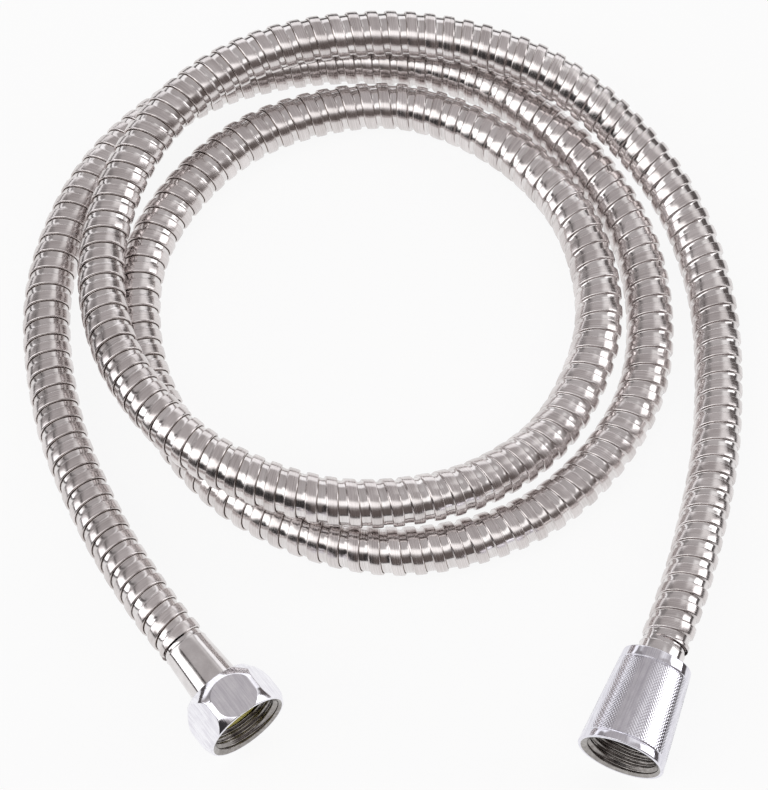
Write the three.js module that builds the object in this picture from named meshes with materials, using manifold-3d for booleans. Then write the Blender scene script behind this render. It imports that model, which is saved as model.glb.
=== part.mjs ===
// A shower hose lying in loose loops on a table, in millimetres, +Z up.
// A strip-wound metal casing runs round a soft inner tube. A hexagon nut closes one end and a
// knurled conical nut the other, and each of them turns freely on a flanged tail.

import * as THREE from "three";
import { mergeVertices } from "three/addons/utils/BufferGeometryUtils.js";
import Module from "manifold-3d";

const wasm = await Module();
wasm.setup();

// Clearances
const faceGap = 0.3;
const edgeBreak = 0.3;

// Hose: a metal casing with a loose inner tube
const casingRadius = 7.0;
const casingWall = 1.4;
const linerSlack = 1.0;
const linerWall = 1.2;
const casingInnerRadius = casingRadius - casingWall;
const linerRadius = casingInnerRadius - linerSlack;
const linerInnerRadius = linerRadius - linerWall;
const casingSides = 12;
const linerSides = 10;
const casingSteps = 78;

// Socket that both nuts share: a half-inch pipe thread, cut here as a plain bore at its roots
const socketRadius = 10.6;
const threadHeight = 1.15;
const rimChamfer = 0.7;

// Depths along each fitting, measured from the mouth of its nut towards the hose
const washerFront = 6.0;
const washerThickness = 2.0;
const flangeThickness = 1.6;
const slipRingThickness = 0.8;
const neckTail = 0.8;
const washerBack = washerFront + washerThickness;
const flangeFront = washerBack + faceGap;
const flangeBack = flangeFront + flangeThickness;
const slipRingFront = flangeBack + faceGap;
const slipRingBack = slipRingFront + slipRingThickness;
const nutShoulder = slipRingBack + faceGap;
const sleeveFront = slipRingBack + faceGap;
const neckBack = slipRingBack + neckTail;
const linerEnd = neckBack + faceGap;

// In the long conical nut the same pieces sit this much deeper
const coneSetback = 4.7;
const coneThreadBack = washerFront + coneSetback;
const coneShoulder = nutShoulder + coneSetback;

// Barbed spigot inside the inner tube
const barbCount = 4;
const barbPitch = 2.8;
const barbFlat = 0.6;
const barbHeight = 0.3;
const barbGap = 0.35;
const barbSetback = 1.3;
const spigotLead = 0.2;
const spigotWall = 0.45;
const boreChamfer = 0.7;
const firstBarb = linerEnd + barbSetback;
const spigotTip = firstBarb + barbCount * barbPitch + spigotLead;
const barbRadius = linerInnerRadius - barbGap;
const spigotRadius = barbRadius - barbHeight;
const tailBoreRadius = spigotRadius - spigotWall;

// Ferrule crimped on the inner tube, and the sleeve over it, which widens towards the nut
const ferruleSetback = 1.7;
const ferruleGap = 0.25;
const ferruleWall = 0.45;
const sleeveWall = 1.0;
const sleeveFlare = 1.05;
const sleeveCover = 5.9;
const sleeveStepDrop = 0.35;
const sleeveStepLength = 1.2;
const ferruleFront = linerEnd + ferruleSetback;
const ferruleHoleRadius = linerRadius + ferruleGap;
const ferruleRadius = ferruleHoleRadius + ferruleWall;
const sleeveHoleRadius = ferruleRadius + faceGap;
const sleeveBackRadius = sleeveHoleRadius + sleeveWall;
const sleeveFrontRadius = sleeveBackRadius + sleeveFlare;
const sleeveBack = spigotTip + sleeveCover;
const hoseEnd = sleeveBack + faceGap;

// Flange, neck, washer and slip ring
const flangeClearance = 0.25;
const washerInset = 0.1;
const washerHoleRadius = 5.5;
const neckClearance = 0.5;
const flangeRadius = socketRadius - threadHeight - flangeClearance;
const washerRadius = flangeRadius - washerInset;
const neckRadius = sleeveHoleRadius - neckClearance;
const slipRingHoleRadius = neckRadius + faceGap;

// Hexagon nut: its corners are arched away towards both faces, further at the back
const hexWall = 1.4;
const hexRearWall = 2.7;
const rearClearance = 0.35;
const hexFrontRim = 1.6;
const hexRearRim = 2.6;
const hexFrontRun = 4.0;
const hexRearRun = 6.5;
const hexCrownMargin = 0.1;
const hexAcrossFlats = 2 * (socketRadius + hexWall);
const hexCornerRadius = hexAcrossFlats / Math.sqrt(3);
const hexLength = nutShoulder + hexRearWall;
const rearHoleRadius = sleeveFrontRadius + rearClearance;
const hexFrontRadius = socketRadius + hexFrontRim;
const hexRearRadius = rearHoleRadius + hexRearRim;
const hexCrownRadius = hexCornerRadius + hexCrownMargin;
const hexSides = 48;
const hexArchPoints = 6;

// Conical nut: behind its thread a narrower pocket holds the washer and the flange
const coneLength = 30.0;
const pocketClearance = 0.5;
const coneMouthWall = 1.9;
const coneRearWall = 2.1;
const coneEdge = 0.4;
const coneFrontBand = 2.2;
const coneRearBand = 3.0;
const grooveWidth = 0.6;
const grooveDepth = 0.3;
const knurlPitch = 1.45;
const knurlDepth = 0.4;
const pocketRadius = flangeRadius + pocketClearance;
const coneMouthRadius = socketRadius + coneMouthWall;
const coneRearRadius = rearHoleRadius + coneRearWall;
const coneRun = coneLength - coneEdge - edgeBreak;
const knurlFront = coneFrontBand + grooveWidth;
const knurlBack = coneLength - coneRearBand - grooveWidth;
const knurlRows = Math.round((knurlBack - knurlFront) / knurlPitch);
const coneSides = 56;

// Fineness of the round pieces and of the centreline, and the distance within which points weld
const roundSides = 32;
const finePoints = 4000;
const weldDistance = 1e-5;

// The hexagon nut lies on one of its flats. The conical nut rests on the edge of its mouth, and
// the stiff hose holds its back a little higher.
const hexMouth = new THREE.Vector3(-37.5, -108.9, hexAcrossFlats / 2);
const hexHeading = THREE.MathUtils.degToRad(-37);
const coneFall = THREE.MathUtils.degToRad(-1.5);
const coneMouthHeight = coneMouthRadius * Math.cos(coneFall) + coneEdge * Math.sin(coneFall);
const coneMouth = new THREE.Vector3(64.8, -118.0, coneMouthHeight);
const coneHeading = THREE.MathUtils.degToRad(21.8);

// An axis that starts a setback inside a nut's mouth: the heading is turned from +Y, and it dips
// by the fall
function fittingAxis(mouth, heading, fall, setback) {
  const flat = new THREE.Vector3(Math.sin(heading), Math.cos(heading), 0);
  const inward = flat.clone().multiplyScalar(Math.cos(fall)).add(new THREE.Vector3(0, 0, -Math.sin(fall)));
  const up = flat.clone().multiplyScalar(Math.sin(fall)).add(new THREE.Vector3(0, 0, Math.cos(fall)));
  const side = new THREE.Vector3().crossVectors(inward, up);
  const start = mouth.clone().addScaledVector(inward, setback);
  const frame = new THREE.Matrix4().makeBasis(side, inward, up).setPosition(start);
  const at = (depth) => start.clone().addScaledVector(inward, depth);
  return { frame, at };
}

const hexEnd = fittingAxis(hexMouth, hexHeading, 0, 0);
const coneNutEnd = fittingAxis(coneMouth, coneHeading, coneFall, 0);
const coneEnd = fittingAxis(coneMouth, coneHeading, coneFall, coneSetback);

// The way of the hose over the table: straight out of each fitting, two and a half turns
// between them, and in long low humps where it rides over itself
const looseRoute = [
  [-80.8, -45.5, 9.2],
  [-95, -9.5, 7.3],
  [-99, 33, 7.1],
  [-84.5, 73.5, 7.1],
  [-54, 101.5, 7.1],
  [-14, 111.5, 7.1],
  [26, 105.5, 7.1],
  [56, 81.5, 7.1],
  [76, 43, 7.1],
  [74.5, -4, 7.1],
  [45.5, -41, 7.1],
  [1, -53.5, 7.1],
  [-42.5, -36.5, 7.1],
  [-69, 1, 7.1],
  [-70.5, 44.5, 7.1],
  [-42, 83, 7.2],
  [2, 95.2, 7.5],
  [34.5, 81, 9],
  [56.5, 53.5, 11],
  [63, 18.5, 11.3],
  [52, -12.5, 10.4],
  [36.5, -29.5, 13.2],
  [15, -41, 17.4],
  [-17, -44, 20.8],
  [-53, -28.5, 21.8],
  [-77, 3, 20.4],
  [-82.5, 44, 17],
  [-66.5, 83, 19.6],
  [-36.5, 105.5, 21.6],
  [10, 111.5, 21.8],
  [51.5, 97.5, 20.4],
  [82.5, 68, 12.5],
  [96.3, 32, 7.6],
  [96.5, -15, 8.6],
  [88.7, -53.5, 12.3],
];
const hexStraightRun = 15;
const coneStraightRun = 8;
const route = [
  hexEnd.at(linerEnd),
  hexEnd.at(hoseEnd),
  hexEnd.at(hoseEnd + hexStraightRun),
  ...looseRoute.map((point) => new THREE.Vector3(...point)),
  coneEnd.at(hoseEnd + coneStraightRun),
  coneEnd.at(hoseEnd),
  coneEnd.at(linerEnd),
];
const centreline = new THREE.CatmullRomCurve3(route, false, "centripetal");
centreline.arcLengthDivisions = finePoints;

// Points at equal steps along the centreline, from one casing end to the other
function hoseStations() {
  const whole = centreline.getLength();
  const first = (hoseEnd - linerEnd) / whole;
  const last = 1 - first;
  const stations = [];
  for (let step = 0; step <= casingSteps; step += 1) {
    stations.push(centreline.getPointAt(first + ((last - first) * step) / casingSteps));
  }
  return stations;
}

// A path through given stations, square to it at each of them
class StationPath extends THREE.Curve {
  constructor(stations) {
    super();
    this.stations = stations;
  }

  getPoint(t) {
    const last = this.stations.length - 1;
    const place = Math.min(Math.max(t, 0), 1) * last;
    const index = Math.min(Math.floor(place + 1e-9), last - 1);
    return this.stations[index].clone().lerp(this.stations[index + 1], place - index);
  }

  getPointAt(t) {
    return this.getPoint(t);
  }

  getTangentAt(t) {
    const last = this.stations.length - 1;
    const index = Math.round(t * last);
    const before = this.stations[Math.max(index - 1, 0)];
    const here = this.stations[index];
    const after = this.stations[Math.min(index + 1, last)];
    const arriving = here.clone().sub(before).normalize();
    const leaving = after.clone().sub(here).normalize();
    return arriving.add(leaving).normalize();
  }
}

function circlePoints(radius, sides) {
  const points = [];
  for (let side = 0; side < sides; side += 1) {
    const angle = (2 * Math.PI * side) / sides;
    points.push(new THREE.Vector2(radius * Math.cos(angle), radius * Math.sin(angle)));
  }
  return points;
}

function tube(stations, outerRadius, innerRadius, sides) {
  const section = new THREE.Shape(circlePoints(outerRadius, sides));
  section.holes.push(new THREE.Path(circlePoints(innerRadius, sides).reverse()));
  return new THREE.ExtrudeGeometry(section, {
    steps: stations.length - 1,
    bevelEnabled: false,
    extrudePath: new StationPath(stations),
  });
}

// A body of revolution on a fitting's axis: the outline is a list of [radius, depth]
function turned(outline, sides) {
  const points = outline.map(([radius, depth]) => new THREE.Vector2(radius, depth));
  return new THREE.LatheGeometry(points, sides);
}

function ring(innerRadius, outerRadius, front, back) {
  const outline = [
    [innerRadius, front],
    [outerRadius, front],
    [outerRadius, back],
    [innerRadius, back],
    [innerRadius, front],
  ];
  return turned(outline, roundSides);
}

// Closed solids for cutting and joining
function solid(geometry) {
  const bare = geometry.clone();
  bare.deleteAttribute("normal");
  bare.deleteAttribute("uv");
  const welded = mergeVertices(bare, weldDistance);
  const triangles = new wasm.Mesh({
    numProp: 3,
    vertProperties: new Float32Array(welded.attributes.position.array),
    triVerts: new Uint32Array(welded.index.array),
  });
  return new wasm.Manifold(triangles);
}

function geometryOf(manifold) {
  const mesh = manifold.getMesh();
  const geometry = new THREE.BufferGeometry();
  geometry.setAttribute("position", new THREE.BufferAttribute(new Float32Array(mesh.vertProperties), 3));
  geometry.setIndex(new THREE.BufferAttribute(new Uint32Array(mesh.triVerts), 1));
  return geometry;
}

// A quarter wave from a rim's radius up to the crown's: a list of [radius, depth from the face]
function archPoints(rimRadius, run) {
  const points = [];
  for (let step = 0; step < hexArchPoints; step += 1) {
    const share = step / (hexArchPoints - 1);
    const rise = (hexCrownRadius - rimRadius) * Math.sin((share * Math.PI) / 2);
    points.push([rimRadius + rise, share * run]);
  }
  return points;
}

// A hexagon whose corners are rounded off at both faces, with a threaded socket and a rear hole
function hexNutGeometry() {
  const prism = new THREE.CylinderGeometry(hexCornerRadius, hexCornerRadius, hexLength, 6);
  prism.rotateY(Math.PI / 6);
  prism.translate(0, hexLength / 2, 0);

  const frontArch = archPoints(hexFrontRadius, hexFrontRun);
  const rearArch = archPoints(hexRearRadius, hexRearRun);
  const turnedRound = rearArch.map(([radius, depth]) => [radius, hexLength - depth]).reverse();
  const crown = [[0, 0], ...frontArch, ...turnedRound, [0, hexLength]];

  const beyond = 1.0;
  const hole = [
    [0, -beyond],
    [socketRadius + rimChamfer + beyond, -beyond],
    [socketRadius, rimChamfer],
    [socketRadius, nutShoulder],
    [rearHoleRadius, nutShoulder],
    [rearHoleRadius, hexLength - edgeBreak],
    [rearHoleRadius + edgeBreak + beyond, hexLength + beyond],
    [0, hexLength + beyond],
  ];
  const body = solid(prism).intersect(solid(turned(crown, hexSides)));
  return geometryOf(body.subtract(solid(turned(hole, hexSides))));
}

function coneRadiusAt(depth) {
  const share = (depth - coneEdge) / coneRun;
  return coneMouthRadius + (coneRearRadius - coneMouthRadius) * share;
}

// The bottom of a narrow groove that starts at a given depth, and its far edge
function groovePoints(start) {
  const middle = start + grooveWidth / 2;
  const end = start + grooveWidth;
  return [
    [coneRadiusAt(middle) - grooveDepth, middle],
    [coneRadiusAt(end), end],
  ];
}

// A slim cone with smooth bands at its ends and a knurled grip between two narrow grooves
function coneNutGeometry() {
  const outline = [
    [socketRadius + rimChamfer, 0],
    [coneMouthRadius - coneEdge, 0],
    [coneMouthRadius, coneEdge],
    [coneRadiusAt(coneFrontBand), coneFrontBand],
    ...groovePoints(coneFrontBand),
  ];
  const firstKnurlPoint = outline.length - 1;
  for (let row = 1; row <= knurlRows; row += 1) {
    const depth = knurlFront + ((knurlBack - knurlFront) * row) / knurlRows;
    outline.push([coneRadiusAt(depth), depth]);
  }
  const lastKnurlPoint = outline.length - 1;
  outline.push(...groovePoints(knurlBack));
  outline.push([coneRearRadius, coneLength - edgeBreak]);
  outline.push([coneRearRadius - edgeBreak, coneLength]);
  outline.push([rearHoleRadius + edgeBreak, coneLength]);
  outline.push([rearHoleRadius, coneLength - edgeBreak]);
  outline.push([rearHoleRadius, coneShoulder]);
  outline.push([pocketRadius, coneShoulder]);
  outline.push([pocketRadius, coneThreadBack]);
  outline.push([socketRadius, coneThreadBack]);
  outline.push([socketRadius, rimChamfer]);
  outline.push([socketRadius + rimChamfer, 0]);

  const geometry = turned(outline, coneSides);
  const position = geometry.attributes.position;
  for (let column = 0; column <= coneSides; column += 1) {
    for (let point = firstKnurlPoint; point <= lastKnurlPoint; point += 1) {
      if ((column + point) % 2 === 0) {
        continue;
      }
      const index = column * outline.length + point;
      const radius = outline[point][0];
      const shrink = (radius - knurlDepth) / radius;
      position.setX(index, position.getX(index) * shrink);
      position.setZ(index, position.getZ(index) * shrink);
    }
  }
  return geometry;
}

// A flange that the nut pulls up, a short neck and a barbed spigot inside the inner tube
function tailGeometry() {
  const outline = [
    [tailBoreRadius + boreChamfer, flangeFront],
    [flangeRadius - edgeBreak, flangeFront],
    [flangeRadius, flangeFront + edgeBreak],
    [flangeRadius, flangeBack],
    [neckRadius, flangeBack],
    [neckRadius, neckBack],
    [spigotRadius, neckBack],
  ];
  for (let barb = 0; barb < barbCount; barb += 1) {
    const start = firstBarb + barb * barbPitch;
    outline.push([spigotRadius, start]);
    outline.push([barbRadius, start]);
    outline.push([spigotRadius, start + barbPitch - barbFlat]);
  }
  outline.push([spigotRadius, spigotTip]);
  outline.push([tailBoreRadius, spigotTip]);
  outline.push([tailBoreRadius, flangeFront + boreChamfer]);
  outline.push([tailBoreRadius + boreChamfer, flangeFront]);
  return turned(outline, roundSides);
}

// The smooth collar, with a narrow lower step where the hose begins
function sleeveGeometry() {
  const stepStart = sleeveBack - sleeveStepLength;
  const outline = [
    [sleeveHoleRadius, sleeveFront],
    [sleeveFrontRadius - edgeBreak, sleeveFront],
    [sleeveFrontRadius, sleeveFront + edgeBreak],
    [sleeveBackRadius, stepStart],
    [sleeveBackRadius - sleeveStepDrop, stepStart],
    [sleeveBackRadius - sleeveStepDrop, sleeveBack],
    [sleeveHoleRadius, sleeveBack],
    [sleeveHoleRadius, sleeveFront],
  ];
  return turned(outline, roundSides);
}

// Looks
const finishes = {
  casing: { color: 0xb9b4ae, metalness: 1.0, roughness: 0.28 },
  nut: { color: 0xd6d6dc, metalness: 1.0, roughness: 0.1 },
  sleeve: { color: 0xcfcdc9, metalness: 1.0, roughness: 0.18 },
  brass: { color: 0xc9a857, metalness: 1.0, roughness: 0.3 },
  ferrule: { color: 0xb0aeaa, metalness: 1.0, roughness: 0.35 },
  rubber: { color: 0x1c1c1c, metalness: 0.0, roughness: 0.8 },
  fibre: { color: 0xa89a4c, metalness: 0.0, roughness: 0.85 },
  acetal: { color: 0xe8e6df, metalness: 0.0, roughness: 0.5 },
  liner: { color: 0x3a3a3c, metalness: 0.0, roughness: 0.7 },
};

const group = new THREE.Group();
group.name = "shower_hose";

function addPiece(name, geometry, finish, axis) {
  const placed = geometry.clone();
  placed.deleteAttribute("normal");
  placed.deleteAttribute("uv");
  const welded = mergeVertices(placed, weldDistance);
  if (axis) {
    welded.applyMatrix4(axis.frame);
  }
  welded.computeVertexNormals();
  const mesh = new THREE.Mesh(welded, new THREE.MeshStandardMaterial(finishes[finish]));
  mesh.name = name;
  group.add(mesh);
}

// The hose itself
const stations = hoseStations();
const linerStations = [hexEnd.at(linerEnd), ...stations, coneEnd.at(linerEnd)];
addPiece("hose_casing", tube(stations, casingRadius, casingInnerRadius, casingSides), "casing");
addPiece("inner_liner", tube(linerStations, linerRadius, linerInnerRadius, linerSides), "liner");

// Pieces that both ends share
const washer = ring(washerHoleRadius, washerRadius, washerFront, washerBack);
const tail = tailGeometry();
const slipRing = ring(slipRingHoleRadius, washerRadius, slipRingFront, slipRingBack);
const sleeve = sleeveGeometry();
const ferrule = ring(ferruleHoleRadius, ferruleRadius, ferruleFront, spigotTip);

// The end with the hexagon nut
addPiece("hex_nut", hexNutGeometry(), "nut", hexEnd);
addPiece("hex_washer", washer, "fibre", hexEnd);
addPiece("hex_tail", tail, "brass", hexEnd);
addPiece("hex_slip_ring", slipRing, "acetal", hexEnd);
addPiece("hex_sleeve", sleeve, "sleeve", hexEnd);
addPiece("hex_ferrule", ferrule, "ferrule", hexEnd);

// The end with the conical nut
addPiece("cone_nut", coneNutGeometry(), "nut", coneNutEnd);
addPiece("cone_washer", washer, "rubber", coneEnd);
addPiece("cone_tail", tail, "brass", coneEnd);
addPiece("cone_slip_ring", slipRing, "acetal", coneEnd);
addPiece("cone_sleeve", sleeve, "sleeve", coneEnd);
addPiece("cone_ferrule", ferrule, "ferrule", coneEnd);

// The origin is the middle of the base, on the table
const whole = new THREE.Box3().setFromObject(group);
const middle = whole.getCenter(new THREE.Vector3());
group.position.set(-middle.x, -middle.y, -whole.min.z);

export default group;
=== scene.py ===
import math

import bpy
import numpy as np
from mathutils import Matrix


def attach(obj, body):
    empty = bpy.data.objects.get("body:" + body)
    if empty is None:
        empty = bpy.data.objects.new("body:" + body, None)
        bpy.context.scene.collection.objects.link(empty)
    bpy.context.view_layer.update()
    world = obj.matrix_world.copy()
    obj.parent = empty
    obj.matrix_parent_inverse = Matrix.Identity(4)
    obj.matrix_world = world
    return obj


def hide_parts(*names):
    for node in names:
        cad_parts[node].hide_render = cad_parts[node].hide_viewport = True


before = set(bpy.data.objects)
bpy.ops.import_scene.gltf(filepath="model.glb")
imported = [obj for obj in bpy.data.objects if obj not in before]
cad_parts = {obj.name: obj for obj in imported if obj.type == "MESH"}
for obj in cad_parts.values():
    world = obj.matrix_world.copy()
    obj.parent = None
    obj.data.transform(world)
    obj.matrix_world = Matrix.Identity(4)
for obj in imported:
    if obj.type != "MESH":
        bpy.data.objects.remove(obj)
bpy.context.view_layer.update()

# A shower hose on a white table. The hose is a helix of folded metal strip, with a smooth collar
# at each end, a hexagon nut at one end and a knurled conical nut at the other.

MM = 0.001

# Where the two fittings stand, in millimetres on the table
TABLE_SHIFT = np.array((0.757, 1.962, 0.0))
HEX_MOUTH = np.array((-37.5, -108.9, 12.0))
HEX_HEADING = math.radians(-37.0)
CONE_MOUTH = np.array((64.8, -118.0, 12.485))
CONE_HEADING = math.radians(21.8)
CONE_FALL = math.radians(-1.5)
CONE_SETBACK = 4.7

# Depths along a fitting's axis, from the mouth of the hexagon nut or, at the conical nut, from
# the setback behind its mouth
WASHER_FRONT = 6.0
NUT_SHOULDER = 11.3
LINER_END = 12.1
SLEEVE_BACK = 30.7
HOSE_END = 31.0
HEX_STRAIGHT_RUN = 15.0
CONE_STRAIGHT_RUN = 8.0

# The hose's way over the table, in millimetres
LOOSE_ROUTE = [
    (-80.8, -45.5, 9.2),
    (-95, -9.5, 7.3),
    (-99, 33, 7.1),
    (-84.5, 73.5, 7.1),
    (-54, 101.5, 7.1),
    (-14, 111.5, 7.1),
    (26, 105.5, 7.1),
    (56, 81.5, 7.1),
    (76, 43, 7.1),
    (74.5, -4, 7.1),
    (45.5, -41, 7.1),
    (1, -53.5, 7.1),
    (-42.5, -36.5, 7.1),
    (-69, 1, 7.1),
    (-70.5, 44.5, 7.1),
    (-42, 83, 7.2),
    (2, 95.2, 7.5),
    (34.5, 81, 9),
    (56.5, 53.5, 11),
    (63, 18.5, 11.3),
    (52, -12.5, 10.4),
    (36.5, -29.5, 13.2),
    (15, -41, 17.4),
    (-17, -44, 20.8),
    (-53, -28.5, 21.8),
    (-77, 3, 20.4),
    (-82.5, 44, 17),
    (-66.5, 83, 19.6),
    (-36.5, 105.5, 21.6),
    (10, 111.5, 21.8),
    (51.5, 97.5, 20.4),
    (82.5, 68, 12.5),
    (96.3, 32, 7.6),
    (96.5, -15, 8.6),
    (88.7, -53.5, 12.3),
]

# Strip-wound casing
HOSE_DIAMETER = 14.0
STRIP_PITCH = 5.68
STEPS_PER_TURN = 26
ARC_MARGIN = 1e-6
# The crown and the step down from it: offset from the crown's middle, and radius
CROWN_PROFILE = [
    (-1.60, 6.33),
    (-1.68, 6.46),
    (-1.68, 6.70),
    (-1.56, 6.89),
    (-1.32, 6.985),
    (0.00, 7.03),
    (1.32, 6.985),
    (1.57, 6.88),
    (1.68, 6.68),
    (1.70, 6.45),
    (1.88, 6.27),
]
# The low band's far side, tucked under the next crown: offset from that crown's middle, and radius
TUCKED_PROFILE = [
    (-2.85, 6.21),
    (-2.02, 6.28),
    (-1.84, 6.20),
    (-0.90, 6.18),
]
# Finish of each face across the strip: 0 is the crown, 1 the low band, 2 the fold under the lip, darkened
# with painted shade
STRIP_FINISHES = [2, 0, 0, 0, 0, 0, 0, 0, 1, 1, 1, 1, 1, 2]

# Socket of both nuts: half-inch pipe thread, behind a small flare at the mouth
THREAD_ROOT = 10.48
THREAD_HEIGHT = 0.85
THREAD_PITCH = 1.814
THREAD_ROWS_PER_MM = 5.9
# Shares of half a turn: flat at the root, and sloping from root to crest
THREAD_FLAT = 0.10
THREAD_FLANK = 0.80
THREAD_RUN_IN = 0.3
THREAD_RUN_OUT = 0.5
SOCKET_RADIUS = 10.6
MOUTH_EDGE = 0.15
MOUTH_RADIUS = 11.6
FLARE_WIDTH = 1.1
FLARE_DEPTH = 2.0
REAR_HOLE = 8.0


def direction(heading, fall):
    """Unit vectors of a fitting: to its side, inwards from its mouth, and up."""
    flat = np.array((math.sin(heading), math.cos(heading), 0.0))
    inward = flat * math.cos(fall) + np.array((0.0, 0.0, -math.sin(fall)))
    up = flat * math.sin(fall) + np.array((0.0, 0.0, math.cos(fall)))
    return np.cross(inward, up), inward, up


class Fitting:
    """The axis of one end of the hose, in millimetres in the part's frame."""

    def __init__(self, mouth, heading, fall, setback):
        self.side, self.inward, self.up = direction(heading, fall)
        self.start = mouth + TABLE_SHIFT + self.inward * setback

    def at(self, depth):
        return self.start + self.inward * depth

    def place(self, radius, angle, depth):
        """Points at given radii and angles round the axis, and depths along it."""
        spoke = np.cos(angle)[..., None] * self.side + np.sin(angle)[..., None] * self.up
        return self.start + depth[..., None] * self.inward + radius[..., None] * spoke


hex_end = Fitting(HEX_MOUTH, HEX_HEADING, 0.0, 0.0)
cone_nut_end = Fitting(CONE_MOUTH, CONE_HEADING, CONE_FALL, 0.0)
cone_end = Fitting(CONE_MOUTH, CONE_HEADING, CONE_FALL, CONE_SETBACK)


# Centreline

SAMPLES_PER_SPAN = 400
LINE_SPACING = 0.3
BEND_SMOOTHING = 9


def smooth_line(points):
    """A centripetal Catmull-Rom curve through the points."""
    points = [np.array(p, dtype=float) for p in points]
    first = 2 * points[0] - points[1]
    last = 2 * points[-1] - points[-2]
    padded = [first] + points + [last]
    line = []
    for i in range(len(points) - 1):
        a, b, c, d = padded[i:i + 4]
        before = math.sqrt(np.linalg.norm(b - a))
        here = math.sqrt(np.linalg.norm(c - b))
        after = math.sqrt(np.linalg.norm(d - c))
        slope_b = ((b - a) / before - (c - a) / (before + here) + (c - b) / here) * here
        slope_c = ((c - b) / here - (d - b) / (here + after) + (d - c) / after) * here
        t = np.linspace(0.0, 1.0, SAMPLES_PER_SPAN, endpoint=False)[:, None]
        square = -3 * b + 3 * c - 2 * slope_b - slope_c
        cube = 2 * b - 2 * c + slope_b + slope_c
        line.append(b + slope_b * t + square * t ** 2 + cube * t ** 3)
    line.append(points[-1][None, :])
    return np.concatenate(line)


class Centreline:
    """Places, frames and bends along the hose, by arc length in millimetres."""

    def __init__(self, points):
        line = smooth_line(points)
        along = self.lengths(line)
        count = int(along[-1] / LINE_SPACING)
        self.arc = np.linspace(0.0, along[-1], count)
        self.points = np.stack([np.interp(self.arc, along, line[:, k]) for k in range(3)], axis=1)
        self.length = float(along[-1])
        tangent = np.gradient(self.points, self.arc, axis=0)
        self.tangent = tangent / np.linalg.norm(tangent, axis=1)[:, None]
        self.normal = self.carried_normals()
        self.binormal = np.cross(self.tangent, self.normal)
        bend = np.gradient(self.tangent, self.arc, axis=0)
        kernel = np.ones(BEND_SMOOTHING) / BEND_SMOOTHING
        self.bend = np.stack([np.convolve(bend[:, k], kernel, mode="same") for k in range(3)], axis=1)

    @staticmethod
    def lengths(line):
        steps = np.linalg.norm(np.diff(line, axis=0), axis=1)
        return np.concatenate(([0.0], np.cumsum(steps)))

    def carried_normals(self):
        """Normals carried along the curve without twist."""
        normals = np.zeros_like(self.points)
        normal = np.cross(self.tangent[0], (0.0, 0.0, 1.0))
        for i, tangent in enumerate(self.tangent):
            normal = normal - tangent * np.dot(normal, tangent)
            normal = normal / np.linalg.norm(normal)
            normals[i] = normal
        return normals

    def sample(self, values, arc):
        return np.stack([np.interp(arc, self.arc, values[:, k]) for k in range(3)], axis=-1)

    def surface(self, arc, angle, radius):
        """Points on a round hose: at an arc length, an angle round it and a radius."""
        centre = self.sample(self.points, arc)
        normal = self.sample(self.normal, arc)
        binormal = self.sample(self.binormal, arc)
        spoke = np.cos(angle)[..., None] * normal + np.sin(angle)[..., None] * binormal
        return centre + radius[..., None] * spoke


route = [hex_end.at(LINER_END), hex_end.at(HOSE_END), hex_end.at(HOSE_END + HEX_STRAIGHT_RUN)]
route += [np.array(p, dtype=float) + TABLE_SHIFT for p in LOOSE_ROUTE]
route += [cone_end.at(HOSE_END + CONE_STRAIGHT_RUN), cone_end.at(HOSE_END), cone_end.at(LINER_END)]
hose_line = Centreline(route)
casing_start = HOSE_END - LINER_END
casing_stop = hose_line.length - casing_start


# Camera, at the photograph's viewing angle: distances in metres, lens and sensor in millimetres

CAMERA_HEIGHT = 0.858
CAMERA_ELEVATION = math.radians(63.0)
NEAREST_SEEN = 0.05
FARTHEST_SEEN = 20.0
CAMERA_LENS = 153.5
CAMERA_SENSOR = 36.0


def add_camera():
    camera = bpy.data.cameras.new("camera")
    camera.sensor_fit = "HORIZONTAL"
    camera.sensor_width = CAMERA_SENSOR
    camera.lens = CAMERA_LENS
    camera.clip_start = NEAREST_SEEN
    camera.clip_end = FARTHEST_SEEN
    holder = bpy.data.objects.new("camera", camera)
    back = CAMERA_HEIGHT / math.tan(CAMERA_ELEVATION)
    holder.location = (TABLE_SHIFT[0] * MM, TABLE_SHIFT[1] * MM - back, CAMERA_HEIGHT)
    holder.rotation_euler = (math.pi / 2 - CAMERA_ELEVATION, 0.0, 0.0)
    bpy.context.scene.collection.objects.link(holder)
    bpy.context.scene.camera = holder


add_camera()


# Mesh helpers

def face_weighted_normals(points, faces):
    """Vertex normals that follow the larger faces, so that flats stay flat and edges stay crisp."""
    corners = points[faces]
    across = np.cross(corners[:, 2] - corners[:, 0], corners[:, 3] - corners[:, 1])
    normals = np.zeros_like(points)
    for k in range(4):
        np.add.at(normals, faces[:, k], across)
    size = np.linalg.norm(normals, axis=1)[:, None]
    return normals / np.maximum(size, 1e-12)


def mesh_object(name, points, faces, uv=None):
    """A smooth-shaded object from points in millimetres; uv gives one pair for each point."""
    mesh = bpy.data.meshes.new(name)
    mesh.from_pydata((points * MM).tolist(), [], faces.tolist())
    if uv is not None:
        layer = mesh.uv_layers.new(name="UVMap")
        corners = np.empty(len(mesh.loops), dtype=np.int32)
        mesh.loops.foreach_get("vertex_index", corners)
        layer.data.foreach_set("uv", uv[corners].astype(np.float32).ravel())
    mesh.shade_smooth()
    mesh.update()
    mesh.normals_split_custom_set_from_vertices(face_weighted_normals(points, faces).tolist())
    piece = bpy.data.objects.new(name, mesh)
    bpy.context.scene.collection.objects.link(piece)
    return piece


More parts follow.
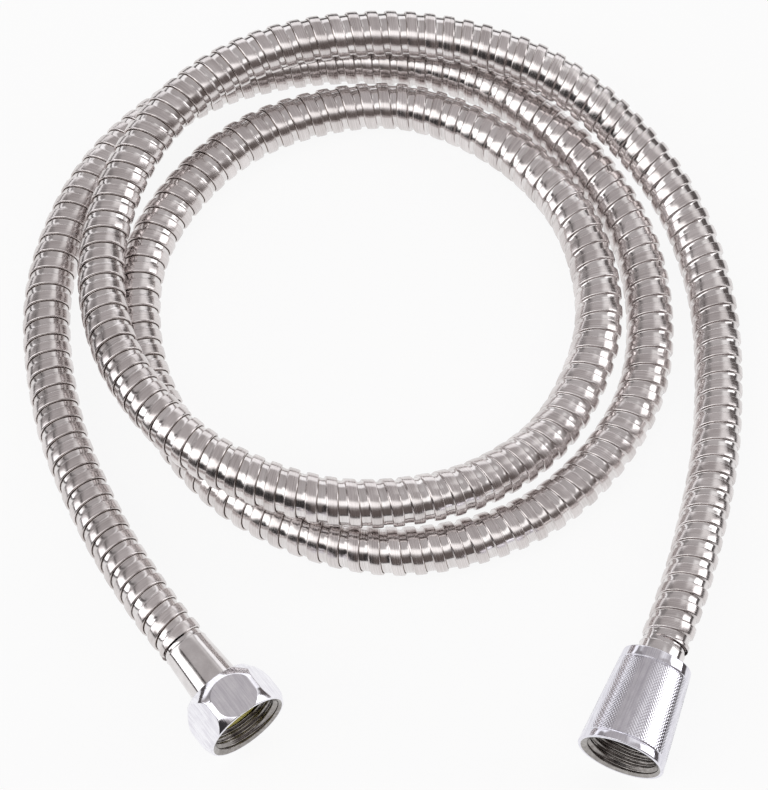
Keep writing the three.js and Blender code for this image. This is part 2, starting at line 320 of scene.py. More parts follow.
def grid_faces(rows, columns, closed_rows=False, closed_columns=False):
    """Quads of a grid whose points are numbered row by row."""
    row = np.arange(rows if closed_rows else rows - 1)
    column = np.arange(columns if closed_columns else columns - 1)
    r, c = np.meshgrid(row, column, indexing="ij")
    r_next = (r + 1) % rows
    c_next = (c + 1) % columns
    corners = [r * columns + c, r * columns + c_next, r_next * columns + c_next, r_next * columns + c]
    return np.stack([corner.ravel() for corner in corners], axis=1)


def revolved(name, fitting, profile, columns, radius_at=None):
    """A closed body round a fitting's axis. The profile is a closed list of (radius, depth),
    outer side walked in increasing depth; radius_at may change the radii by angle and depth."""
    radius = np.array([p[0] for p in profile], dtype=float)
    depth = np.array([p[1] for p in profile], dtype=float)
    angle = np.arange(columns) * (2 * math.pi / columns)
    radius, angle_grid = np.meshgrid(radius, angle, indexing="ij")
    depth_grid = np.meshgrid(depth, angle, indexing="ij")[0]
    if radius_at is not None:
        radius = radius_at(radius, angle_grid, depth_grid)
    points = fitting.place(radius, angle_grid, depth_grid).reshape(-1, 3)
    faces = grid_faces(len(profile), columns, closed_rows=True, closed_columns=True)
    return mesh_object(name, points, faces)


def rounded_corner(corner, before, after, size, steps=4):
    """Points that round off a corner of a profile between two neighbouring points."""
    corner, before, after = (np.array(p, dtype=float) for p in (corner, before, after))
    start = corner + (before - corner) / np.linalg.norm(before - corner) * size
    end = corner + (after - corner) / np.linalg.norm(after - corner) * size
    points = []
    for i in range(steps + 1):
        t = i / steps
        points.append(tuple((1 - t) ** 2 * start + 2 * t * (1 - t) * corner + t ** 2 * end))
    return points


# Materials

# Nearly all of a noise's values lie between these
NOISE_LOW = 0.3
NOISE_HIGH = 0.7


def new_material(name, color, metallic, roughness):
    """A plain metal or other surface, with its node lists and its shader."""
    material = bpy.data.materials.new(name)
    material.use_nodes = True
    nodes = material.node_tree.nodes
    shader = nodes["Principled BSDF"]
    shader.inputs["Base Color"].default_value = (*color, 1.0)
    shader.inputs["Metallic"].default_value = metallic
    shader.inputs["Roughness"].default_value = roughness
    return material, nodes, material.node_tree.links, shader


def mapped_noise(nodes, links, source, scale, detail=3.0, rough=0.55, heading=0.0):
    """Noise over coordinates from a Texture Coordinate output: scale gives the repeats a metre
    on each axis, and heading turns the second axis round to a fitting's."""
    place = nodes.new("ShaderNodeTexCoord")
    mapping = nodes.new("ShaderNodeMapping")
    mapping.vector_type = "TEXTURE"
    mapping.inputs["Rotation"].default_value = (0.0, 0.0, -heading)
    mapping.inputs["Scale"].default_value = [1.0 / repeats for repeats in scale]
    noise = nodes.new("ShaderNodeTexNoise")
    noise.inputs["Scale"].default_value = 1.0
    noise.inputs["Detail"].default_value = detail
    noise.inputs["Roughness"].default_value = rough
    links.new(place.outputs[source], mapping.inputs["Vector"])
    links.new(mapping.outputs["Vector"], noise.inputs["Vector"])
    return noise


def ramp(nodes, links, value, stops):
    """A colour ramp over a value: stops are (position, colour)."""
    node = nodes.new("ShaderNodeValToRGB")
    band = node.color_ramp
    while len(band.elements) < len(stops):
        band.elements.new(0.5)
    for element, (position, color) in zip(band.elements, stops):
        element.position = position
        element.color = (*color, 1.0)
    links.new(value, node.inputs["Fac"])
    return node.outputs["Color"]


def span(nodes, links, value, low, high):
    """A noise's values spread between two limits."""
    node = nodes.new("ShaderNodeMapRange")
    node.inputs["From Min"].default_value = NOISE_LOW
    node.inputs["From Max"].default_value = NOISE_HIGH
    node.inputs["To Min"].default_value = low
    node.inputs["To Max"].default_value = high
    links.new(value, node.inputs["Value"])
    return node.outputs["Result"]


def tone_and_gloss(nodes, links, shader, value, dark, light, low, high):
    """Base colour and roughness that follow one noise."""
    tone = ramp(nodes, links, value, [(NOISE_LOW, dark), (NOISE_HIGH, light)])
    links.new(tone, shader.inputs["Base Color"])
    links.new(span(nodes, links, value, low, high), shader.inputs["Roughness"])


def bump(nodes, links, shader, height, strength, distance):
    """Fine relief: height is a noise, and distance its full depth in metres."""
    node = nodes.new("ShaderNodeBump")
    node.inputs["Strength"].default_value = strength
    node.inputs["Distance"].default_value = distance
    links.new(height, node.inputs["Height"])
    links.new(node.outputs["Normal"], shader.inputs["Normal"])


def multiply_colors(nodes, links, first, second):
    node = nodes.new("ShaderNodeMix")
    node.data_type = "RGBA"
    node.blend_type = "MULTIPLY"
    node.inputs["Factor"].default_value = 1.0
    links.new(first, node.inputs["A"])
    links.new(second, node.inputs["B"])
    return node.outputs["Result"]


def strip_metal(name, dark, light, smooth, rough, relief):
    """Nickel-plated strip: slow patches of tone, and fine rolling streaks that follow the strip."""
    material, nodes, links, shader = new_material(name, light, 1.0, rough)
    patches = mapped_noise(nodes, links, "UV", (45.0, 120.0, 1.0), detail=2.0)
    streaks = mapped_noise(nodes, links, "UV", (20.0, 4200.0, 1.0), detail=3.0)
    tone = ramp(nodes, links, patches.outputs["Fac"], [(NOISE_LOW, dark), (NOISE_HIGH, light)])
    fine = ramp(nodes, links, streaks.outputs["Fac"],
                [(0.32, (0.80, 0.79, 0.78)), (0.62, (1.0, 1.0, 1.0))])
    links.new(multiply_colors(nodes, links, tone, fine), shader.inputs["Base Color"])
    links.new(span(nodes, links, streaks.outputs["Fac"], smooth, rough), shader.inputs["Roughness"])
    bump(nodes, links, shader, streaks.outputs["Fac"], relief, 0.00004)
    return material


def nut_chrome(name, heading, dark, light, relief):
    """Polished chrome with the faint waviness and the hair scratches of a plated, buffed nut."""
    material, nodes, links, shader = new_material(name, light, 1.0, 0.07)
    waves = mapped_noise(nodes, links, "Object", (380.0, 380.0, 380.0), detail=3.0)
    scratches = mapped_noise(nodes, links, "Object", (2600.0, 110.0, 900.0), detail=3.0,
                             rough=0.6, heading=heading)
    tone = ramp(nodes, links, waves.outputs["Fac"], [(NOISE_LOW, dark), (NOISE_HIGH, light)])
    fine = ramp(nodes, links, scratches.outputs["Fac"],
                [(0.38, (0.85, 0.84, 0.86)), (0.58, (1.0, 1.0, 1.0))])
    links.new(multiply_colors(nodes, links, tone, fine), shader.inputs["Base Color"])
    links.new(span(nodes, links, waves.outputs["Fac"], 0.05, 0.11), shader.inputs["Roughness"])
    bump(nodes, links, shader, scratches.outputs["Fac"], relief, 0.00003)
    return material


def shaded_thread_chrome():
    """Thread inside the sockets: painted darker and browner than the outside, as shade inside the nut, and
    rougher.
    """
    material, nodes, links, shader = new_material("shaded_thread_chrome", (0.46, 0.43, 0.40), 1.0, 0.3)
    grain = mapped_noise(nodes, links, "Object", (700.0, 700.0, 700.0), detail=2.0)
    tone_and_gloss(nodes, links, shader, grain.outputs["Fac"],
                   (0.24, 0.22, 0.21), (0.42, 0.40, 0.385), 0.18, 0.28)
    return material


def sleeve_chrome():
    """Bright drawn collar with faint waves."""
    material, nodes, links, shader = new_material("sleeve_chrome", (0.74, 0.73, 0.72), 1.0, 0.1)
    waves = mapped_noise(nodes, links, "Object", (300.0, 300.0, 300.0), detail=3.0)
    tone_and_gloss(nodes, links, shader, waves.outputs["Fac"],
                   (0.70, 0.67, 0.668), (0.82, 0.79, 0.788), 0.07, 0.15)
    bump(nodes, links, shader, waves.outputs["Fac"], 0.10, 0.00005)
    return material


def grained(name, dark, light, metallic, low, high, scale, depth):
    """A surface whose colour, roughness and height follow one fine grain."""
    material, nodes, links, shader = new_material(name, light, metallic, low)
    grain = mapped_noise(nodes, links, "Object", (scale, scale, scale), detail=5.0)
    tone_and_gloss(nodes, links, shader, grain.outputs["Fac"], dark, light, low, high)
    bump(nodes, links, shader, grain.outputs["Fac"], 0.25, depth)
    return material


# The hose

# The strip's finishes: name, dark and light tone, least and most roughness, and relief
STRIP_LOOKS = [
    ("strip_crown", (0.67, 0.625, 0.618), (0.87, 0.828, 0.825), 0.12, 0.28, 0.26),
    ("strip_band", (0.72, 0.682, 0.676), (0.88, 0.852, 0.85), 0.10, 0.20, 0.12),
    # The fold under each lip: the strip's own metal darkened with painted shade where it tucks under the
    # next crown
    ("strip_fold_painted_shade", (0.34, 0.28, 0.25), (0.52, 0.46, 0.42), 0.25, 0.40, 0.10),
]


def add_casing():
    """One strip wound round and round: each turn's raised crown hides the tucked edge of the
    turn before it. Crowns keep their width, and bends open or close the bands between them."""
    run = casing_stop - casing_start
    turns = round(run / STRIP_PITCH)
    pitch = run / turns
    count = (turns + 2) * STEPS_PER_TURN + 1
    wound = (np.arange(count) / STEPS_PER_TURN - 1) * pitch
    angle = np.arange(count) * (2 * math.pi / STEPS_PER_TURN)
    base = casing_start + wound + pitch / 2
    at = np.clip(base, casing_start, casing_stop)

    bend = hose_line.sample(hose_line.bend, at)
    normal = hose_line.sample(hose_line.normal, at)
    binormal = hose_line.sample(hose_line.binormal, at)
    spoke = np.cos(angle)[:, None] * normal + np.sin(angle)[:, None] * binormal
    stretch = 1.0 - HOSE_DIAMETER / 2 * np.sum(bend * spoke, axis=1)

    offsets = [offset / stretch for offset, radius in CROWN_PROFILE]
    offsets += [pitch + offset / stretch for offset, radius in TUCKED_PROFILE]
    radii = np.array([radius for offset, radius in CROWN_PROFILE + TUCKED_PROFILE])
    columns = len(radii)
    across = np.stack(offsets, axis=1)
    arc = np.clip(base[:, None] + across, casing_start, casing_stop)
    angle_grid = np.repeat(angle[:, None], columns, axis=1)
    radius_grid = np.repeat(radii[None, :], count, axis=0)
    points = hose_line.surface(arc, angle_grid, radius_grid).reshape(-1, 3)

    faces = grid_faces(count, columns)[:, ::-1]
    finish = np.tile(STRIP_FINISHES, count - 1)
    inside = (arc > casing_start + ARC_MARGIN) & (arc < casing_stop - ARC_MARGIN)
    kept = inside.ravel()[faces].any(axis=1)

    width = across * stretch[:, None]
    steps = np.diff(width, axis=1, prepend=width[:, :1])
    drop = np.diff(radius_grid, axis=1, prepend=radius_grid[:, :1])
    over = np.cumsum(np.hypot(steps, drop), axis=1)
    around = np.repeat((angle * HOSE_DIAMETER / 2)[:, None], columns, axis=1)
    uv = np.stack([around.ravel(), over.ravel()], axis=1) * MM
    piece = mesh_object("hose_strip", points, faces[kept], uv)

    for look in STRIP_LOOKS:
        piece.data.materials.append(strip_metal(*look))
    piece.data.polygons.foreach_set("material_index", finish[kept].astype(np.int32))
    return piece


hose = add_casing()
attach(hose, "hose")
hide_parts("hose_casing")


# Smooth collars, crimped over the hose's ends

SLEEVE_FRONT_RADIUS = 7.65
SLEEVE_BACK_RADIUS = 6.6
SLEEVE_BORE = 5.6
SLEEVE_EDGE = 0.3
SLEEVE_STEP = 1.2
SLEEVE_TAPER_ENDS = 0.9
SLEEVE_TAPER_STEPS = 9
SLEEVE_COLUMNS = 96
# The rolled bead and the step behind it: offsets from the back radius and from the step's place
SLEEVE_BEAD = [
    (0.0, -0.6),
    (0.10, -0.35),
    (0.05, -0.1),
    (-0.12, 0.0),
    (-0.40, 0.06),
    (-0.45, 0.25),
    (-0.35, 0.5),
]
# The tongue that runs on under the strip
SLEEVE_NECK = 0.35
SLEEVE_TONGUE = 0.42
SLEEVE_TONGUE_START = 0.1
SLEEVE_TUCK = 1.8


def add_collar(name, fitting):
    """A collar that narrows from behind the nut to its rolled bead, and ends under the strip."""
    front = NUT_SHOULDER
    step = SLEEVE_BACK - SLEEVE_STEP
    wide = SLEEVE_FRONT_RADIUS
    narrow = SLEEVE_BACK_RADIUS
    tongue = narrow - SLEEVE_TONGUE
    profile = [(SLEEVE_BORE, front), (wide - SLEEVE_EDGE, front), (wide, front + SLEEVE_EDGE)]
    for i in range(1, SLEEVE_TAPER_STEPS):
        share = i / SLEEVE_TAPER_STEPS
        depth = front + SLEEVE_EDGE + (step - SLEEVE_TAPER_ENDS - front) * share
        profile.append((wide + (narrow - wide) * share, depth))
    profile += [(narrow + rise, step + back) for rise, back in SLEEVE_BEAD]
    profile += [(narrow - SLEEVE_NECK, SLEEVE_BACK), (tongue, HOSE_END + SLEEVE_TONGUE_START)]
    profile += [(tongue, HOSE_END + SLEEVE_TUCK), (SLEEVE_BORE, HOSE_END + SLEEVE_TUCK)]
    return revolved(name, fitting, profile, SLEEVE_COLUMNS)


collar_finish = sleeve_chrome()
hex_collar = add_collar("hexagon_nut_collar", hex_end)
cone_collar = add_collar("conical_nut_collar", cone_end)
for collar, node in ((hex_collar, "hex_sleeve"), (cone_collar, "cone_sleeve")):
    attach(collar, "hose")
    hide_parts(node)
    collar.data.materials.append(collar_finish)


# Threads, cut the same way in both nuts

def triangle_wave(turn):
    """1 at each whole turn and 0 halfway between."""
    return np.abs(2 * (turn - np.floor(turn)) - 1)


def rising(value, length):
    """0 up to 1 over a length, and 1 from there on."""
    return np.clip(value / length, 0.0, 1.0)


def thread_depths(back):
    """Depths of the thread's points, from the relief behind it out to the mouth."""
    rows = math.ceil((back - MOUTH_EDGE) * THREAD_ROWS_PER_MM)
    return [back - (back - MOUTH_EDGE) * i / rows for i in range(rows + 1)]


def thread_radius(angle, depth, back):
    """Radius of a right-hand internal thread, flat at crest and root, fading at its ends and
    widening at the mouth."""
    turn = depth / THREAD_PITCH + angle / (2 * math.pi)
    wave = rising(triangle_wave(turn) - THREAD_FLAT, THREAD_FLANK)
    ends = rising(depth - MOUTH_EDGE, THREAD_RUN_IN) * rising(back - depth, THREAD_RUN_OUT)
    flare = FLARE_WIDTH * np.clip(1.0 - depth / FLARE_DEPTH, 0.0, 1.0) ** 2
    return THREAD_ROOT + flare - THREAD_HEIGHT * wave * ends


def with_thread(radius, angle, depth, back):
    """Rows drawn at the thread's root radius get its thread."""
    threaded = np.isclose(radius, THREAD_ROOT, rtol=0.0, atol=0.001)
    return np.where(threaded, thread_radius(angle, depth, back), radius)


def soft_least(a, b, width):
    """The smaller of two lengths, rounded over where they cross."""
    gap = np.clip(0.5 + 0.5 * (b - a) / width, 0.0, 1.0)
    return b * (1 - gap) + a * gap - width * gap * (1 - gap)


# Hexagon nut

HEX_ACROSS_FLATS = 24.0
HEX_LENGTH = 14.0
HEX_FRONT_RADIUS = 12.2
HEX_REAR_RADIUS = 10.6
# The six corners and the crown that arches over them reach this radius
HEX_CORNER_RADIUS = 13.42
HEX_CORNER_ROUNDING = 0.05
HEX_CROWN_ROUNDING = 0.06
HEX_FRONT_RUN = 4.0
HEX_REAR_RUN = 6.5
HEX_THREAD_BACK = 8.6
HEX_RELIEF_DEPTHS = [10.4, 9.0]
HEX_SHOULDER_MIDDLE = 9.3
HEX_REAR_FACE_EDGE = 10.25
HEX_MOUTH_LAND = 0.22
HEX_END_GAP = 0.12
HEX_OUTSIDE_ROWS = 92
HEX_COLUMNS = 420
# The rounded edge of the rear hole: offsets from the hole's radius and from the rear face
HEX_HOLE_EDGE = [(0.35, 0.0), (0.08, -0.1), (0.0, -0.35)]
# A radius that marks the outside rows of the profile, whose real radii follow from the angle
OUTSIDE = 20.0


def hex_nut_radius(radius, angle, depth):
    """Outside rows take the smaller of the six flats and the arched crown; thread rows the thread."""
    sector = math.pi / 3
    # One flat faces up and one down: the flats' middles are at 30, 90, 150 degrees and so on
    from_flat = (angle + sector) % sector - sector / 2
    flat = HEX_ACROSS_FLATS / 2 / np.cos(from_flat)
    flat = soft_least(flat, np.full_like(flat, HEX_CORNER_RADIUS), HEX_CORNER_ROUNDING)
    front_rise = np.sin(rising(depth, HEX_FRONT_RUN) * math.pi / 2)
    rear_rise = np.sin(rising(HEX_LENGTH - depth, HEX_REAR_RUN) * math.pi / 2)
    front = HEX_FRONT_RADIUS + (HEX_CORNER_RADIUS - HEX_FRONT_RADIUS) * front_rise
    rear = HEX_REAR_RADIUS + (HEX_CORNER_RADIUS - HEX_REAR_RADIUS) * rear_rise
    body = soft_least(flat, np.minimum(front, rear), HEX_CROWN_ROUNDING)
    radius = np.where(radius == OUTSIDE, body, radius)
    return with_thread(radius, angle, depth, HEX_THREAD_BACK)


def add_hex_nut():
    end = HEX_LENGTH
    profile = [(radius, NUT_SHOULDER) for radius in (REAR_HOLE, HEX_SHOULDER_MIDDLE, SOCKET_RADIUS)]
    profile += [(SOCKET_RADIUS, depth) for depth in HEX_RELIEF_DEPTHS]
    profile += [(THREAD_ROOT, depth) for depth in thread_depths(HEX_THREAD_BACK)]
    profile += [(MOUTH_RADIUS, 0.0), (HEX_FRONT_RADIUS - HEX_MOUTH_LAND, 0.0)]
    for i in range(HEX_OUTSIDE_ROWS + 1):
        profile.append((OUTSIDE, HEX_END_GAP + (end - 2 * HEX_END_GAP) * i / HEX_OUTSIDE_ROWS))
    profile += [(HEX_REAR_FACE_EDGE, end), (HEX_SHOULDER_MIDDLE, end)]
    profile += [(REAR_HOLE + wider, end + back) for wider, back in HEX_HOLE_EDGE]
    return revolved("hexagon_nut", hex_end, profile, HEX_COLUMNS, hex_nut_radius)


# Margins at the socket's wall, mouth and shoulder when its faces are picked
WALL_MARGIN = 0.05
MOUTH_MARGIN = 0.01
SHOULDER_MARGIN = 0.1


def give_thread_material(piece, fitting, back, material):
    """Faces inside the socket take the thread's finish, with its painted shade."""
    mesh = piece.data
    mesh.materials.append(material)
    centres = np.empty(len(mesh.polygons) * 3, dtype=np.float64)
    mesh.polygons.foreach_get("center", centres)
    offset = centres.reshape(-1, 3) / MM - fitting.start
    depth = offset @ fitting.inward
    radius = np.linalg.norm(offset - depth[:, None] * fitting.inward, axis=1)
    wall = np.where(depth < FLARE_DEPTH, MOUTH_RADIUS, SOCKET_RADIUS + WALL_MARGIN)
    inside = (radius < wall) & (depth > MOUTH_MARGIN) & (depth < back + SHOULDER_MARGIN)
    mesh.polygons.foreach_set("material_index", inside.astype(np.int32))


hex_chrome = nut_chrome("hexagon_chrome", HEX_HEADING, (0.88, 0.87, 0.92), (0.97, 0.965, 1.0), 0.5)
# The thread's finish carries painted shade for the inside of the sockets
shaded_thread_finish = shaded_thread_chrome()

hex_nut = add_hex_nut()
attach(hex_nut, "hex_nut")
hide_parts("hex_nut")
hex_nut.data.materials.append(hex_chrome)
give_thread_material(hex_nut, hex_end, NUT_SHOULDER, shaded_thread_finish)


# Conical nut

CONE_LENGTH = 30.0
CONE_MOUTH_RADIUS = 12.5
CONE_REAR_RADIUS = 10.1
# The side tapers from the edge of the mouth over this run
CONE_EDGE = 0.4
CONE_RUN = 29.3
CONE_MOUTH_LAND = 0.45
CONE_REAR_LAND = 0.9
CONE_EDGE_ROUNDING = 0.35
CONE_HOLE_ROUNDING = 0.4
# Plain rows of the outside, before the front groove and behind the rear one, and of the hole
CONE_FRONT_ROW = 1.2
CONE_REAR_ROWS = [28.2, 29.3]
CONE_HOLE_ROWS = [26.0, 21.0]
CONE_SHOULDER = NUT_SHOULDER + CONE_SETBACK
CONE_SHOULDER_MIDDLE = 8.9
CONE_THREAD_BACK = WASHER_FRONT + CONE_SETBACK
# The smooth pocket behind the thread
POCKET_RADIUS = 9.7
POCKET_MIDDLE = 13.5
POCKET_LIP = [(POCKET_RADIUS, 0.3), (10.2, 0.1)]
# The knurl, with a groove at each end
FRONT_GROOVE = 2.2
REAR_GROOVE = 26.4
GROOVE_WIDTH = 0.6
GROOVE_DEPTH = 0.3
GROOVE_STEPS = 6
KNURL_FRONT = 2.8
KNURL_BACK = 26.4
KNURL_MARGIN = 0.02
KNURL_DEPTH = 0.09
KNURL_COUNT = 76
KNURL_AXIAL_PITCH = 1.05
KNURL_RUN_OUT = 0.15
# Shares of half a groove's pitch: the untouched land, and the groove's flank
KNURL_LAND = 0.45
KNURL_FLANK = 0.55
KNURL_STEPS = 5
CONE_COLUMNS = KNURL_COUNT * KNURL_STEPS


def cone_radius(depth):
    """Radius of the smooth side."""
    return CONE_MOUTH_RADIUS + (CONE_REAR_RADIUS - CONE_MOUTH_RADIUS) * (depth - CONE_EDGE) / CONE_RUN


def knurl_cut(angle, depth):
    """How deep two crossing sets of slanted V grooves cut at a place."""
    cut = np.zeros_like(angle)
    for slant in (-1, 1):
        turn = KNURL_COUNT * angle / (2 * math.pi) + slant * depth / KNURL_AXIAL_PITCH
        cut = np.maximum(cut, triangle_wave(turn))
    ends = rising(depth - KNURL_FRONT, KNURL_RUN_OUT) * rising(KNURL_BACK - depth, KNURL_RUN_OUT)
    return KNURL_DEPTH * rising(cut - KNURL_LAND, KNURL_FLANK) * ends


# Rows count as the side when they lie less than this inside it
SIDE_MARGIN = 0.01


def cone_nut_radius(radius, angle, depth):
    """The knurl cuts the side's rows, and thread rows get the thread."""
    outside = radius > cone_radius(depth) - SIDE_MARGIN
    grip = outside & (depth > KNURL_FRONT) & (depth < KNURL_BACK)
    radius = np.where(grip, radius - knurl_cut(angle, depth), radius)
    return with_thread(radius, angle, depth, CONE_THREAD_BACK)


def groove(start):
    """A narrow round-bottomed groove in the cone's side."""
    points = []
    for i in range(GROOVE_STEPS + 1):
        share = i / GROOVE_STEPS
        depth = start + GROOVE_WIDTH * share
        points.append((cone_radius(depth) - GROOVE_DEPTH * math.sin(share * math.pi), depth))
    return points


def add_cone_nut():
    mouth = CONE_MOUTH_RADIUS
    rear = CONE_REAR_RADIUS
    end = CONE_LENGTH
    profile = [(radius, CONE_SHOULDER) for radius in (REAR_HOLE, CONE_SHOULDER_MIDDLE, POCKET_RADIUS)]
    profile += [(POCKET_RADIUS, POCKET_MIDDLE)]
    profile += [(radius, CONE_THREAD_BACK + behind) for radius, behind in POCKET_LIP]
    profile += [(THREAD_ROOT, depth) for depth in thread_depths(CONE_THREAD_BACK)]
    profile += [(MOUTH_RADIUS, 0.0), (mouth - CONE_MOUTH_LAND, 0.0)]
    profile += rounded_corner((mouth, 0.0), (mouth - 1, 0.0), (mouth, 1.0), CONE_EDGE_ROUNDING)
    profile += [(cone_radius(CONE_FRONT_ROW), CONE_FRONT_ROW)]
    profile += groove(FRONT_GROOVE)
    rows = round((KNURL_BACK - KNURL_FRONT) / KNURL_AXIAL_PITCH * KNURL_STEPS)
    for i in range(rows + 1):
        depth = KNURL_FRONT + KNURL_MARGIN + (KNURL_BACK - KNURL_FRONT - 2 * KNURL_MARGIN) * i / rows
        profile.append((cone_radius(depth), depth))
    profile += groove(REAR_GROOVE)
    profile += [(cone_radius(depth), depth) for depth in CONE_REAR_ROWS]
    profile += rounded_corner((rear, end), (rear, end - 1), (rear - 1, end), CONE_EDGE_ROUNDING)
    profile += [(rear - CONE_REAR_LAND, end)]
    profile += rounded_corner((REAR_HOLE, end), (REAR_HOLE + 1, end), (REAR_HOLE, end - 1),
                              CONE_HOLE_ROUNDING)
    profile += [(REAR_HOLE, depth) for depth in CONE_HOLE_ROWS]
    return revolved("conical_nut", cone_nut_end, profile, CONE_COLUMNS, cone_nut_radius)


cone_nut = add_cone_nut()
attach(cone_nut, "cone_nut")
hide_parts("cone_nut")
cone_nut.data.materials.append(
    nut_chrome("conical_chrome", CONE_HEADING, (0.77, 0.762, 0.82), (0.88, 0.872, 0.93), 0.10))
give_thread_material(cone_nut, cone_nut_end, CONE_SHOULDER, shaded_thread_finish)


# Looks of the solids that stay as they are

def dress(node, material):
    solid = bpy.data.objects[node]
    solid.data.materials.clear()
    solid.data.materials.append(material)


brass = grained("turned_brass", (0.56, 0.42, 0.18), (0.78, 0.63, 0.32), 1.0, 0.22, 0.38, 700.0, 0.00003)
olive = grained("olive_fibre", (0.84, 0.76, 0.17), (0.97, 0.91, 0.36), 0.0, 0.55, 0.8, 900.0, 0.00008)
black = grained("black_rubber", (0.012, 0.012, 0.013), (0.03, 0.03, 0.032),
                0.0, 0.5, 0.7, 800.0, 0.00006)
acetal = grained("white_acetal", (0.74, 0.73, 0.69), (0.86, 0.85, 0.82), 0.0, 0.35, 0.5, 500.0, 0.00003)
crimped = grained("crimped_metal", (0.44, 0.43, 0.41), (0.66, 0.65, 0.63),
                  1.0, 0.25, 0.42, 600.0, 0.00005)
inner_hose = grained("inner_hose_rubber", (0.02, 0.02, 0.022), (0.045, 0.045, 0.05),
                     0.0, 0.5, 0.7, 500.0, 0.00005)

for end in ("hex", "cone"):
    dress(end + "_tail", brass)
    dress(end + "_slip_ring", acetal)
    dress(end + "_ferrule", crimped)
dress("hex_washer", olive)
dress("cone_washer", black)
dress("inner_liner", inner_hose)


# Table and light

# Half the table's width, and how far it lies below the hose, in millimetres
TABLE_HALF = 3000.0
TABLE_DROP = 0.05
# Where the white sheet ends on each side, in metres: full sheet, then full floor
SHEET_EDGES = [
    ("X", 0.116, 0.150),
    ("X", -0.135, -0.165),
    ("Y", 0.165, 0.200),
    ("Y", -0.165, -0.200),
]
FLOOR_COLOR = (0.13, 0.12, 0.12)
# How much of what is seen is even light and not shading: on the sheet, and added to it beyond
SHEET_GLOW = 0.90
FLOOR_GLOW = 0.06

CEILING_LOW = (0.39, 0.365, 0.36)
CEILING_HIGH = (0.52, 0.497, 0.50)
# The room that the metal mirrors, each region laid over those before it. A region is a colour and
# its bounds: along an axis of the mirrored direction, where it starts to show and where it is full.
ROOM = [
    # Dark front of the room
    ((0.145, 0.122, 0.116), [("Y", -0.05, -0.50), ("Z", 0.76, 0.46)]),
    # White sweep behind the table
    ((1.2, 1.2, 1.22), [("Y", 0.30, 0.55), ("Z", 0.52, 0.38)]),
    # Grey recess at the back on the left
    ((0.30, 0.285, 0.285), [("X", -0.48, -0.60), ("Z", 0.16, 0.26), ("Y", 0.22, 0.36)]),
    # Dark hood above the left box
    ((0.09, 0.08, 0.08), [("X", -0.65, -0.70), ("Z", 0.54, 0.60)]),
    # Dark brow at the front on the left
    ((0.04, 0.037, 0.038), [("X", -0.14, -0.26), ("Y", -0.50, -0.60), ("Z", 0.64, 0.58)]),
    # Light panel high at the back on the right
    ((0.95, 0.94, 0.94), [("X", 0.16, 0.44), ("Z", 0.46, 0.58), ("Y", 0.22, 0.38)]),
    # Shade below that panel
    ((0.13, 0.115, 0.112), [("X", 0.50, 0.62), ("Z", 0.46, 0.36), ("Y", 0.24, 0.38)]),
    # Soft box on the right
    ((2.4, 2.4, 2.42), [("X", 0.64, 0.74), ("Z", 0.68, 0.60), ("Y", -0.08, 0.06), ("Y", 0.38, 0.26)]),
    # Soft box on the left
    ((2.1, 2.1, 2.14), [("X", -0.66, -0.76), ("Z", 0.58, 0.53), ("Y", 0.18, 0.06), ("Y", -0.40, -0.26)]),
    # Soft box over the front
    ((1.4, 1.39, 1.39), [("Y", -0.22, -0.38), ("Y", -0.76, -0.58), ("Z", 0.62, 0.74)]),
    # Key light at the front on the left
    ((1.9, 1.89, 1.88), [("X", -0.20, -0.42), ("Y", 0.00, -0.12), ("Y", -0.64, -0.50), ("Z", 0.24, 0.38)]),
]


def compass(nodes, links, source):
    """The parts of a place or a direction: X to the right, Y away over the table, Z up."""
    place = nodes.new("ShaderNodeTexCoord")
    parts = nodes.new("ShaderNodeSeparateXYZ")
    links.new(place.outputs[source], parts.inputs["Vector"])
    return parts.outputs


def fade(nodes, links, value, start, end):
    """0 at start and 1 at end, smooth between them and level beyond; either may be the larger."""
    node = nodes.new("ShaderNodeMapRange")
    node.interpolation_type = "SMOOTHSTEP"
    node.inputs["From Min"].default_value = min(start, end)
    node.inputs["From Max"].default_value = max(start, end)
    node.inputs["To Min"].default_value = 0.0 if start < end else 1.0
    node.inputs["To Max"].default_value = 1.0 if start < end else 0.0
    links.new(value, node.inputs["Value"])
    return node.outputs["Result"]


def combined(nodes, links, operation, first, second):
    """Two values put together; either may be a plain number."""
    node = nodes.new("ShaderNodeMath")
    node.operation = operation
    for socket, value in zip(node.inputs, (first, second)):
        if isinstance(value, float):
            socket.default_value = value
        else:
            links.new(value, socket)
    return node.outputs["Value"]


def bounded(nodes, links, operation, parts, bounds):
    """The fades of several bounds put together, from the first to the last."""
    result = None
    for axis, start, end in bounds:
        share = fade(nodes, links, parts[axis], start, end)
        result = share if result is None else combined(nodes, links, operation, result, share)
    return result


def painted(nodes, links, under, share, color):
    """A colour laid over another by a share from 0 to 1."""
    node = nodes.new("ShaderNodeMix")
    node.data_type = "RGBA"
    links.new(share, node.inputs["Factor"])
    links.new(under, node.inputs["A"])
    node.inputs["B"].default_value = (*color, 1.0)
    return node.outputs["Result"]


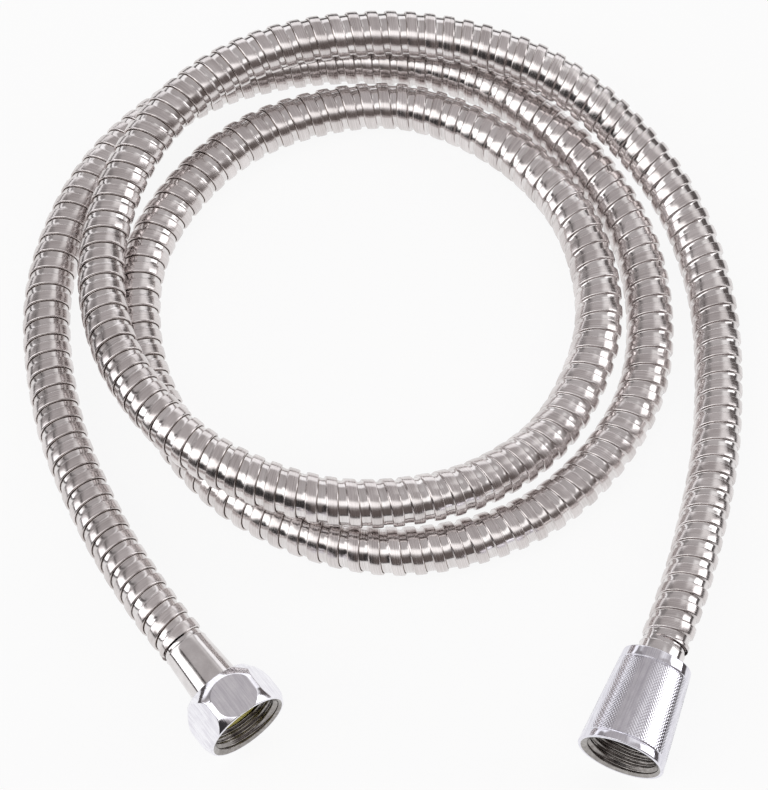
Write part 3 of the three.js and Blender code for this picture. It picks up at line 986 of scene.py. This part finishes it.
def add_table():
    """A white sheet on a dark floor. The camera sees both nearly evenly lit, the metal sees the
    sheet so, and the share that stays shaded keeps the hose's shadow."""
    corners = [(-TABLE_HALF, -TABLE_HALF, -TABLE_DROP), (TABLE_HALF, -TABLE_HALF, -TABLE_DROP),
               (TABLE_HALF, TABLE_HALF, -TABLE_DROP), (-TABLE_HALF, TABLE_HALF, -TABLE_DROP)]
    table = mesh_object("table", np.array(corners), np.array([(0, 1, 2, 3)]))
    material, nodes, links, shader = new_material("table_white", (0.9, 0.9, 0.905), 0.0, 0.9)
    shader.inputs["Specular IOR Level"].default_value = 0.0

    beyond = bounded(nodes, links, "MAXIMUM", compass(nodes, links, "Object"), SHEET_EDGES)
    grain = mapped_noise(nodes, links, "Object", (300.0, 300.0, 300.0), detail=2.0)
    white = ramp(nodes, links, grain.outputs["Fac"],
                 [(NOISE_LOW, (0.895, 0.893, 0.9)), (NOISE_HIGH, (0.905, 0.903, 0.91))])
    links.new(painted(nodes, links, white, beyond, FLOOR_COLOR), shader.inputs["Base Color"])

    path = nodes.new("ShaderNodeLightPath")
    sheet = combined(nodes, links, "SUBTRACT", 1.0, beyond)
    mirrored = combined(nodes, links, "MAXIMUM", path.outputs["Is Glossy Ray"],
                        path.outputs["Is Transmission Ray"])
    mirrored = combined(nodes, links, "MULTIPLY", mirrored, sheet)
    lit = combined(nodes, links, "MAXIMUM", path.outputs["Is Camera Ray"], mirrored)
    share = combined(nodes, links, "MULTIPLY", beyond, FLOOR_GLOW)
    share = combined(nodes, links, "ADD", share, SHEET_GLOW)
    glow = nodes.new("ShaderNodeEmission")
    glow.inputs["Color"].default_value = (1.0, 1.0, 1.0, 1.0)
    glow.inputs["Strength"].default_value = 1.0
    blend = nodes.new("ShaderNodeMixShader")
    links.new(combined(nodes, links, "MULTIPLY", lit, share), blend.inputs["Fac"])
    links.new(shader.outputs["BSDF"], blend.inputs[1])
    links.new(glow.outputs["Emission"], blend.inputs[2])
    links.new(blend.outputs["Shader"], nodes["Material Output"].inputs["Surface"])
    table.data.materials.append(material)


def add_studio():
    """The room round the table, which lights the hose and which its metal mirrors. The camera
    itself sees plain white behind the table."""
    world = bpy.data.worlds.new("studio")
    bpy.context.scene.world = world
    world.use_nodes = True
    nodes = world.node_tree.nodes
    links = world.node_tree.links
    parts = compass(nodes, links, "Generated")
    color = ramp(nodes, links, parts["Z"], [(0.0, CEILING_LOW), (1.0, CEILING_HIGH)])
    for region_color, bounds in ROOM:
        share = bounded(nodes, links, "MULTIPLY", parts, bounds)
        color = painted(nodes, links, color, share, region_color)

    background = nodes["Background"]
    links.new(color, background.inputs["Color"])
    background.inputs["Strength"].default_value = 1.0

    seen = nodes.new("ShaderNodeBackground")
    seen.inputs["Color"].default_value = (1.0, 1.0, 1.0, 1.0)
    seen.inputs["Strength"].default_value = 1.0
    path = nodes.new("ShaderNodeLightPath")
    choose = nodes.new("ShaderNodeMixShader")
    links.new(path.outputs["Is Camera Ray"], choose.inputs["Fac"])
    links.new(background.outputs["Background"], choose.inputs[1])
    links.new(seen.outputs["Background"], choose.inputs[2])
    links.new(choose.outputs["Shader"], nodes["World Output"].inputs["Surface"])


add_table()
add_studio()
bpy.context.scene.view_settings.view_transform = "Standard"
